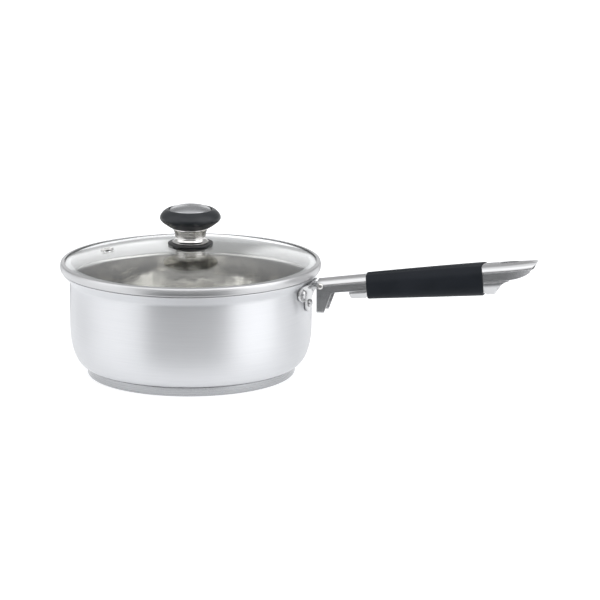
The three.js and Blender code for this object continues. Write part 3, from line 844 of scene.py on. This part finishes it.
def bracket_rivets():
    """Three rivets square through the wall: a pair in the ears and one in the foot."""
    tilt = math.asin(RIVET_PAIR / WALL_RADIUS)
    places = []
    inside = WALL_RADIUS - SHEET
    face = WALL_RADIUS + GAP + FLANGE_SHEET
    for angle, height in ((-tilt, RIVET_PAIR_HEIGHT), (tilt, RIVET_PAIR_HEIGHT), (0.0, RIVET_LOW_HEIGHT)):
        out = Vector((math.cos(angle), math.sin(angle), 0))
        places.append((out * (inside + face) / 2 + Vector((0, 0, height)), out))
    return rivets("bracket_rivets", places, {
        "Shank Radius": 2.2, "Shank Length": face - inside + 0.2, "Head Radius": 3.2, "Head Height": 2.2,
        "Back Radius": 5.2, "Back Height": 1.3,
    }, BRIGHT)


def cross_rivet():
    """The rivet from side to side at the handle's root."""
    middle = (cross_low + cross_high) / 2
    seat = half_width(middle.x)
    return rivets("cross_rivet", [(middle, (0, 1, 0))], {
        "Shank Radius": 1.5, "Shank Length": 2 * seat, "Head Radius": 2.6, "Head Height": 1.5,
        "Back Radius": 2.6, "Back Height": 1.5,
    }, MIRROR)


# ---------------------------------------------------------------- handle
def arch_half(x, grow_by, corner, rise, steps=9):
    """Half of an arched top, from the side up over the corner to the middle."""
    half = half_width(x) + grow_by
    shoulder = top_line(x) + rise - CROWN
    points = []
    for a in spaced(0, math.pi / 2, steps):
        points.append((half - corner + corner * math.cos(a), shoulder - corner + corner * math.sin(a)))
    flat = half - corner
    points += [(flat * (1 - t), shoulder + CROWN * (1 - (1 - t) ** 2)) for t in spaced(1 / 6, 1, 5)]
    return points


def trough_half(x, grow_by, seam, bottom, steps=16):
    """Half of a rounded trough, from the middle of the bottom up to the seam."""
    half = half_width(x) + grow_by
    power = 2 / 2.6
    points = []
    for a in spaced(0, math.pi / 2, steps):
        drop = max(math.cos(a), 0.0) ** power
        points.append((half * math.sin(a) ** power, seam - (seam - bottom) * drop))
    return points


def clipped(points, floor):
    """A rising line of points, with those under the floor moved to where the line crosses it."""
    if points[0][1] >= floor:
        return points
    for (y0, z0), (y1, z1) in zip(points, points[1:]):
        if z1 >= floor:
            t = (floor - z0) / (z1 - z0)
            crossing = (y0 + (y1 - y0) * t, floor)
            return [crossing if z < floor else (y, z) for y, z in points]
    return [points[-1]] * len(points)


def upper_edge(x):
    """Height of the upper shell's lower edge: gusset, parting line, then the cut to the tip."""
    if x <= GUSSET_TO:
        return GUSSET_FOOT
    if x <= GUSSET_RISEN:
        rise = parting_line(GUSSET_RISEN) - GUSSET_UNDER - GUSSET_FOOT
        return GUSSET_FOOT + rise * (x - GUSSET_TO) / (GUSSET_RISEN - GUSSET_TO)
    if x <= GUSSET_EASED:
        share = (GUSSET_EASED - x) / (GUSSET_EASED - GUSSET_RISEN)
        return parting_line(x) - GUSSET_UNDER * share ** 2
    if x <= CUT_FROM:
        return parting_line(x)
    cut_x, cut_z = TIP_CUT
    if x <= cut_x:
        control = (CUT_CONTROL, parting_line(CUT_CONTROL) - 0.3)
        return quadratic_height(x, (CUT_FROM, parting_line(CUT_FROM)), control, TIP_CUT)
    return cut_z + (top_line(HANDLE_TIP) - 0.6 - cut_z) * (x - cut_x) / (HANDLE_TIP - cut_x)


def quadratic_height(x, first, control, last):
    """Height at x of a curve with one control point, found by halving."""
    low, high = 0.0, 1.0
    for _ in range(30):
        t = (low + high) / 2
        at = first[0] * (1 - t) ** 2 + 2 * control[0] * t * (1 - t) + last[0] * t * t
        low, high = (t, high) if at < x else (low, t)
    return first[1] * (1 - t) ** 2 + 2 * control[1] * t * (1 - t) + last[1] * t * t


def handle_top():
    """The upper shell: an arched channel with a hanging slot and a slanting tip."""
    stations = [
        *spaced(HANDLE_START, GUSSET_TO, 6), *spaced(GUSSET_TO + 0.5, GUSSET_EASED, 16),
        *spaced(122, 256, 66), *spaced(257, TIP_CUT[0], 28), *spaced(276.7, HANDLE_TIP - 0.05, 18)]
    rows = []
    for x in stations:
        arch = arch_half(x, 0.0, CORNER, 0.0)
        edge = upper_edge(x)
        side_top = arch[0]
        side = [(side_top[0], z) for z in spaced(min(edge, side_top[1]), side_top[1], 14)]
        half = clipped([*side[:-1], *arch], edge)
        rows.append([(x, y, z) for y, z in half] + [(x, -y, z) for y, z in half[-2::-1]])
    shell = link_piece("handle_top", grid_mesh("handle_top", rows), [BRIGHT])
    thicken(shell)
    turn = spaced(math.pi / 2, math.pi * 1.5, 20)
    first, last = SLOT_FROM + SLOT_HALF, SLOT_TO - SLOT_HALF
    slot = [(first + SLOT_HALF * math.cos(a), SLOT_HALF * math.sin(a)) for a in turn]
    slot += [(last - SLOT_HALF * math.cos(a), -SLOT_HALF * math.sin(a)) for a in turn]
    combine(shell, prism("slot", slot, 96.0, 130.0, Matrix.Identity(4)), "DIFFERENCE")
    return soften(shell, 0.22)


def handle_underside():
    """The lower shell: a trough with a slanting nose and a tail that curves up."""
    # The slanting nose meets the underside about a millimetre and a half behind its marked point.
    nose_foot = NOSE_AT + (NOSE_TOP - bottom_line(NOSE_AT + 1.5)) / NOSE_SLOPE
    tail_to = lower_high.x

    def cut(x):
        if x < nose_foot:
            return NOSE_TOP - (x - NOSE_AT) * NOSE_SLOPE
        if x > TAIL_FROM:
            return quadratic_height(x, (TAIL_FROM, TAIL_FOOT), TAIL_CONTROL, (tail_to, TAIL_TOP))
        return 0.0

    nose = [nose_foot - (nose_foot - lower_low.x - 0.02) * (i / 16) ** 1.6 for i in range(16, -1, -1)]
    tail = [TAIL_FROM + (tail_to - TAIL_FROM) * (i / 30) ** 1.4 for i in range(31)]
    stations = [
        *nose, *spaced(nose_foot + 0.6, 144.3, 8), *spaced(*STEP_IN, 4), *spaced(148, 240, 30),
        *spaced(*STEP_OUT, 4), *spaced(243.6, 247.2, 4), *tail]
    halves = ([], [])
    for x in stations:
        half = clipped(trough_half(x, 0.0, parting_line(x) - GAP, shell_bottom(x)), cut(x))
        halves[0].append([(x, y, z) for y, z in half])
        halves[1].append([(x, -y, z) for y, z in reversed(half)])
    bm = bmesh.new()
    for rows in halves:
        strip = grid_mesh("strip", rows)
        bm.from_mesh(strip)
        bpy.data.meshes.remove(strip)
    mesh = bpy.data.meshes.new("handle_underside")
    bm.to_mesh(mesh)
    bm.free()
    shell = link_piece("handle_underside", mesh, [BRIGHT])
    return soften(thicken(shell), 0.2)


def sleeve_section(x, grow_by, outer):
    """The sleeve's outline about the handle: rounder outside than in its bore."""
    corner = CORNER + (1.0 + grow_by) * outer
    seam = parting_line(x) - 1.0 + outer
    trough = trough_half(x, grow_by, seam, bottom_line(x) + GRIP_RECESS - grow_by)
    arch = arch_half(x, grow_by, corner, GAP + (grow_by - GAP) * GRIP_TOP_SHARE)
    half = [*trough, *spaced_points(trough[-1], arch[0], 4), *arch]
    middle = (top_line(x) + bottom_line(x)) / 2

    def leant(y, z):
        shift = -GRIP_LEAN * (z - middle) + GRIP_DISH * (y / END_HALF) ** 2
        return (x + shift, y, z + GRIP_LEAN * shift)

    return [leant(y, z) for y, z in half] + [leant(-y, z) for y, z in half[-2:0:-1]]


def spaced_points(first, last, count):
    """Points strictly between two points."""
    a, b = Vector(first), Vector(last)
    return [tuple(a.lerp(b, i / count)) for i in range(1, count)]


def grip_sleeve():
    """A closed sleeve: its outside, a rounded end, the bore and the other rounded end."""
    end = 1.1  # radius of the rounded ends
    outside = spaced(GRIP_FROM + end, GRIP_TO - end, 44)
    turns = spaced(math.pi / 12, math.pi / 2, 6)
    rows = [sleeve_section(x, GRIP_PROUD, 1.0) for x in outside]
    for a in turns[:-1]:
        back = end * (1 - math.sin(a))
        rows.append(sleeve_section(GRIP_TO - back, GRIP_PROUD - end * (1 - math.cos(a)), 1.0))
    rows.append(sleeve_section(GRIP_TO, GRIP_PROUD - end, 1.0))
    rows.append(sleeve_section(GRIP_TO, GRIP_PROUD - end - 0.1, 0.0))
    rows += [sleeve_section(x, GAP, 0.0) for x in spaced(GRIP_TO, GRIP_FROM, 20)]
    rows.append(sleeve_section(GRIP_FROM, GRIP_PROUD - end, 1.0))
    for a in turns[-2::-1]:
        back = end * (1 - math.sin(a))
        rows.append(sleeve_section(GRIP_FROM + back, GRIP_PROUD - end * (1 - math.cos(a)), 1.0))
    mesh = grid_mesh("grip_sleeve", rows, wrap_rows=True, wrap_columns=True)
    return link_piece("grip_sleeve", mesh, [SLEEVE])


# ---------------------------------------------------------------- lid
def at_vent():
    """Stands a piece square through the glass at the vent."""
    middle = DOME_SPHERE - GLASS_THICK / 2
    lean = Matrix.Rotation(math.asin(VENT_RADIUS / middle), 4, "Y")
    centre = Matrix.Translation((0, 0, (DOME_APEX - DOME_SPHERE) * MM))
    return Matrix.Rotation(VENT_ANGLE, 4, "Z") @ centre @ lean @ Matrix.Translation((0, 0, middle * MM))


def lid_dome():
    """The glass: a thin dome with a rounded edge and the hole for the vent."""
    stops = spaced(4.0, GLASS_RADIUS - 2.0, 30)
    under = [(r, dome_height(r, GLASS_THICK)) for r in stops]
    over = [(r, dome_height(r)) for r in reversed(stops)]
    edge_low = dome_height(GLASS_RADIUS, GLASS_THICK) + 0.05
    edge_high = dome_height(GLASS_RADIUS) - 0.05
    edge = rounded([under[-1], (GLASS_RADIUS, edge_low, 1.2), (GLASS_RADIUS, edge_high, 1.2), over[0]])
    dome = turned("lid_dome", [*under[:-1], *edge, *over[1:]], GLASS, ring=True)
    turns = spaced(0, math.tau, SMALL)[:-1]
    hole = [(VENT_HOLE * math.cos(a), VENT_HOLE * math.sin(a)) for a in turns]
    return combine(dome, prism("hole", hole, -8, 8, at_vent()), "DIFFERENCE")


def lid_band():
    """Rolled steel: it folds over the glass, sits on the pan's lip, and its skirt drops inside."""
    channel = GLASS_RADIUS + 0.4
    lap = channel - 1.9  # inner edge of the steel over the glass

    def over(r, lift):
        return (r, dome_height(r) + lift)

    def under(r):
        return (r, dome_height(r, GLASS_THICK) - GAP)

    outer = flowing([
        (103.1, 84.6), (103.3, 86.4), (103.25, 88.2), (103.0, 89.6), (102.5, 90.4), over(channel, 1.1)], 4)
    return turned("lid_band", rounded([
        (93.9, 77.4, 0.35), (94.7, 77.4, 0.35), (94.7, 84.8, 0.8), (98.4, 85.1, 0.8), (99.6, 83.9, 0.7),
        (102.6, 83.9, 0.8), *outer, (*over(lap, 1.05), 0.35), (*over(lap, GAP), 0.2), over(channel, GAP),
        under(channel), under(93.9),
    ]), RIM, ring=True)


def vent_tube():
    """An eyelet with both ends rolled flat against the glass."""
    face = GLASS_THICK / 2 + GAP
    bore, shank, flange = 2.0, 3.0, 5.2
    tube = turned("vent_tube", rounded([
        (bore, -face - 0.7, 0.4), (flange, -face - 0.6, 0.3), (flange, -face, 0.2), (shank, -face, 0.2),
        (shank, face, 0.2), (flange, face, 0.2), (flange, face + 0.6, 0.45), (bore, face + 0.9, 0.6),
    ]), MIRROR, SMALL, ring=True)
    tube.data.transform(at_vent())
    return tube


# ---------------------------------------------------------------- knob
def lower_seal():
    """The flat washer of silicone under the glass."""
    bore, radius, low, high = 2.9, 14.0, 97.8, 99.3
    outline = [(bore, low, 0.2), (radius, low, 0.45), (radius, high, 0.45), (bore, high, 0.2)]
    return turned("lower_seal", rounded(outline), SILICONE, MEDIUM, ring=True)


def upper_seal():
    """The silicone between the glass and the neck, shaped to the dome below."""
    bore, radius, high = 4.3, gasket_high.x, 105.2
    foot = [(r, dome_height(r) + GAP) for r in (bore, 9.0, 13.5)]
    outline = [*foot, (radius, dome_height(radius) + GAP, 0.4), (radius, high, 0.55), (bore, high)]
    return turned("upper_seal", rounded(outline), SILICONE, MEDIUM, ring=True)


def knob_neck():
    """The waisted collar between the seal and the knob's grip."""
    bore, low, high = 9.3, 105.5, 116.9
    waist = flowing([
        (14.1, 106.1), (13.6, 106.6), (12.9, 107.3), (12.3, 108.6), (12.15, 110.2), (12.45, 112.4),
        (13.0, 114.4), (13.5, 115.7)], 5)
    return turned("knob_neck", rounded([
        (bore, low, 0.2), (14.3, low, 0.3), (14.3, 106.0, 0.25), *waist, (13.85, 116.1, 0.3),
        (13.85, high, 0.2), (bore, high, 0.2),
    ]), MIRROR, MEDIUM, ring=True)


def knob_ring():
    """The moulded grip: a core down through the neck, and a full rim with a dish for the cap."""
    body = flowing([
        (15.2, 117.25), (16.6, 118.0), (19.4, 119.9), (22.2, 122.0), (23.8, 124.0), (24.1, 125.6),
        (23.5, 127.4), (21.8, 129.7), (19.8, 131.3)], 6)
    return turned("knob_ring", rounded([
        (0, 119.2), (4.3, 119.2, 0.2), (4.3, 105.8, 0.3), (9.0, 105.8, 0.4), (9.0, 117.2, 0.3), *body,
        (18.2, 132.1, 0.9), (17.0, 131.7, 0.5), (17.0, 130.4, 0.4), (0, 130.4),
    ]), PHENOLIC, MEDIUM)


def knob_top():
    """The low domed cap in the knob's dish."""
    radius, low = 16.6, 130.7
    dome = flowing([
        (16.2, 131.75), (15.4, 132.45), (12.6, 133.7), (8.6, 134.7), (4.4, 135.2), (0, 135.3)], 6)
    outline = rounded([(0, low), (radius, low, 0.3), (radius, 131.4, 0.3), *dome])
    return turned("knob_top", outline, SHADED_TURNED, MEDIUM)


def fixing_screw():
    """A cross-head screw that clamps the lid from below."""
    foot = 93.4
    thread, core, pitch = 2.5, 2.2, 0.5
    turns = []
    for k in range(40):
        turns += [(thread, 97.2 + k * pitch), (core, 97.45 + k * pitch)]
    head = rounded([
        (0, foot), (3.2, foot, 1.2), (4.8, foot + 1.1, 0.8), (4.8, 95.9, 0.3), (thread, 95.9, 0.2)])
    screw = turned("fixing_screw", [*head, *turns, (2.0, 118.2), (0, 118.2)], MIRROR, SMALL)
    far, near = 2.6, 0.55  # half the length and half the width of the cross's arms
    cross = [
        (-far, -near), (-near, -near), (-near, -far), (near, -far), (near, -near), (far, -near),
        (far, near), (near, near), (near, far), (-near, far), (-near, near), (-far, near)]
    recess = prism("cross", cross, foot - 1, foot + 1.6, Matrix.Identity(4))
    return combine(screw, recess, "DIFFERENCE")


def fixing_washer():
    bore, radius, low, high = 2.9, 11.5, 96.2, 97.5
    outline = [(bore, low, 0.2), (radius, low, 0.5), (radius, high, 0.3), (bore, high, 0.2)]
    return turned("fixing_washer", rounded(outline), MIRROR, MEDIUM, ring=True)


# ---------------------------------------------------------------- assembly
def fit(piece, body, slot, *nodes):
    """Sets a fine piece in the place of its plain ones."""
    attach(piece, body)
    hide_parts(*nodes)


fit(pan_shell(), "pan", "satin_steel", "pan_body")
fit(base_cover(), "pan", "satin_steel", "base_cap")
fit(bracket_plate(), "pan", "polished_steel", "handle_bracket")
fit(bracket_rivets(), "pan", "polished_steel", "bracket_rivet_1", "bracket_rivet_2", "bracket_rivet_3")
fit(cross_rivet(), "pan", "polished_steel", "root_rivet")
fit(handle_top(), "pan", "polished_steel", "handle_upper_shell")
fit(handle_underside(), "pan", "polished_steel", "handle_lower_shell")
fit(grip_sleeve(), "pan", "sleeve", "handle_grip")
fit(lid_dome(), "lid_disc", "glass", "lid_glass")
fit(lid_band(), "lid_disc", "polished_steel", "lid_rim")
fit(vent_tube(), "lid_disc", "polished_steel", "vent_eyelet")
fit(knob_neck(), "lid_knob", "polished_steel", "knob_stem")
fit(knob_ring(), "lid_knob", "phenolic", "knob_grip")
fit(knob_top(), "lid_knob", "polished_steel", "knob_cap")
fit(fixing_screw(), "lid_knob", "polished_steel", "knob_screw")
fit(fixing_washer(), "lid_knob", "polished_steel", "screw_washer")
fit(upper_seal(), "lid_knob", "silicone", "outer_gasket")
fit(lower_seal(), "lid_knob", "silicone", "inner_gasket")

for node, material in (("base_core", cast_aluminium()), ("knob_insert", turned_brass())):
    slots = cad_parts[node].data.materials
    slots.clear()
    slots.append(material)


# ---------------------------------------------------------------- studio
AZIMUTH = math.radians(16.0)  # of the camera, about the pan from straight in front
ELEVATION = math.radians(13.1)
TARGET = Vector((0.0833, 0.0239, 0.05806))
DISTANCE = 2.997


def emission(name, colour, strength):
    material = bpy.data.materials.new(name)
    material.use_nodes = True
    tree = material.node_tree
    tree.nodes.remove(tree.nodes["Principled BSDF"])
    lamp = link_node(tree, "ShaderNodeEmission", {"Color": (*colour, 1), "Strength": strength})
    return material, tree, lamp, tree.nodes["Material Output"]


def stage_disc(name, radius, height, material):
    """A level disc of the studio, which is not part of the pan."""
    turns = spaced(0, math.tau, 64)[:-1]
    points = [(radius * math.cos(a), radius * math.sin(a), height) for a in turns]
    mesh = bpy.data.meshes.new(name)
    mesh.from_pydata(points, [], [tuple(range(len(points)))])
    mesh.materials.append(material)
    disc = bpy.data.objects.new(name, mesh)
    bpy.context.scene.collection.objects.link(disc)
    return disc


def floor():
    """A pale floor that is partly its own light, so that shadows on it stay faint."""
    material, tree, lamp, output = emission("pale_floor", (0.985, 0.99, 1.0), 0.72)
    matt = link_node(tree, "ShaderNodeBsdfDiffuse", {"Color": (0.46, 0.465, 0.47, 1)})
    both = link_node(tree, "ShaderNodeAddShader", {0: matt.outputs[0], 1: lamp.outputs[0]})
    tree.links.new(both.outputs[0], output.inputs["Surface"])
    return stage_disc("floor", 9.0, -0.0002, material)


def dark_card():
    """A dark card flat on the floor in front and behind, which only shows in reflections."""
    material, tree, lamp, output = emission("dark_card", (0.9, 0.95, 1.0), 0.12)
    clear = tree.nodes.new("ShaderNodeBsdfTransparent")
    place = link_node(tree, "ShaderNodeSeparateXYZ", {0: own_place(tree)}).outputs

    def distance(east, north):
        """How far off the axis a place is along a direction, either way."""
        parts = (maths(tree, "MULTIPLY", place["X"], east), maths(tree, "MULTIPLY", place["Y"], north))
        return maths(tree, "ABSOLUTE", maths(tree, "ADD", *parts))

    ahead = distance(math.sin(AZIMUTH), -math.cos(AZIMUTH))
    aside = distance(math.cos(AZIMUTH), math.sin(AZIMUTH))
    near = ease(tree, ahead, 0.13, 0.22)
    wide = ease(tree, maths(tree, "DIVIDE", aside, ahead), 0.9, 0.45)
    cover = maths(tree, "MULTIPLY", near, wide)
    mix = link_node(tree, "ShaderNodeMixShader", {0: cover, 1: clear.outputs[0], 2: lamp.outputs[0]})
    tree.links.new(mix.outputs[0], output.inputs["Surface"])
    card = stage_disc("dark_card", 0.9, 0.0004, material)
    for ray in ("camera", "diffuse", "shadow", "transmission"):
        setattr(card, "visible_" + ray, False)
    return card


def studio_light():
    """A white room seen by the camera; soft boxes over a dark front in reflections."""
    world = bpy.data.worlds.new("studio")
    bpy.context.scene.world = world
    world.use_nodes = True
    tree = world.node_tree
    tree.nodes.clear()
    look = tree.nodes.new("ShaderNodeTexCoord").outputs["Generated"]
    turned_look = link_node(
        tree, "ShaderNodeVectorRotate", {"Vector": look, "Angle": -AZIMUTH}, rotation_type="Z_AXIS")
    east, north, up = link_node(tree, "ShaderNodeSeparateXYZ", {0: turned_look.outputs[0]}).outputs

    def times(a, b):
        return maths(tree, "MULTIPLY", a, b)

    # Degrees round from the camera's side, positive to its right, and degrees up.
    turn = times(maths(tree, "ARCTAN2", east, times(north, -1.0)), math.degrees(1))
    rise = times(maths(tree, "ARCSINE", up), math.degrees(1))

    def soft_box(middle, half, edge, low, high, low_edge, high_edge):
        """One inside a window of the sky, fading out over its edges."""
        away = maths(tree, "ABSOLUTE", maths(tree, "SUBTRACT", turn, middle))
        upright = times(ease(tree, rise, low, low + low_edge), ease(tree, rise, high, high - high_edge))
        return times(ease(tree, away, half + edge, half), upright)

    total = maths(tree, "ADD", times(ease(tree, rise, 40, 75), 0.75), 0.55)
    facing = ease(tree, maths(tree, "ABSOLUTE", turn), 60, 38)
    dark = times(facing, ease(tree, rise, 16, 4))
    total = times(total, maths(tree, "SUBTRACT", 1.0, times(dark, 0.9)))
    for strength, *window in (
        (1.25, -80, 10, 34, -2, 70, 6, 20),
        (2.0, 72, 12, 32, -2, 70, 6, 20),
        (1.3, 0, 40, 20, 12, 75, 14, 25),
        (0.8, 171, 5, 2, 3, 22, 4, 4),
        (0.8, -171, 5, 2, 3, 22, 4, 4),
    ):
        total = maths(tree, "ADD", total, times(soft_box(*window), strength))
    room = link_node(tree, "ShaderNodeBackground", {"Color": (0.985, 0.99, 1.0, 1), "Strength": total})
    white = link_node(tree, "ShaderNodeBackground", {"Color": (1, 1, 1, 1), "Strength": 1.02})
    seen = tree.nodes.new("ShaderNodeLightPath").outputs["Is Camera Ray"]
    mix = link_node(tree, "ShaderNodeMixShader", {0: seen, 1: room.outputs[0], 2: white.outputs[0]})
    link_node(tree, "ShaderNodeOutputWorld", {"Surface": mix.outputs[0]})


def camera():
    lens = bpy.data.cameras.new("camera")
    lens.lens = 226.4
    lens.sensor_width = 36.0
    lens.clip_end = 60.0
    view = bpy.data.objects.new("camera", lens)
    bpy.context.scene.collection.objects.link(view)
    level = math.cos(ELEVATION)
    back = Vector((math.sin(AZIMUTH) * level, -math.cos(AZIMUTH) * level, math.sin(ELEVATION)))
    view.location = TARGET + back * DISTANCE
    view.rotation_euler = (-back).to_track_quat("-Z", "Y").to_euler()
    bpy.context.scene.camera = view


floor()
dark_card()
studio_light()
camera()
bpy.context.scene.view_settings.view_transform = "Standard"
bpy.context.scene.cycles.glossy_bounces = 8
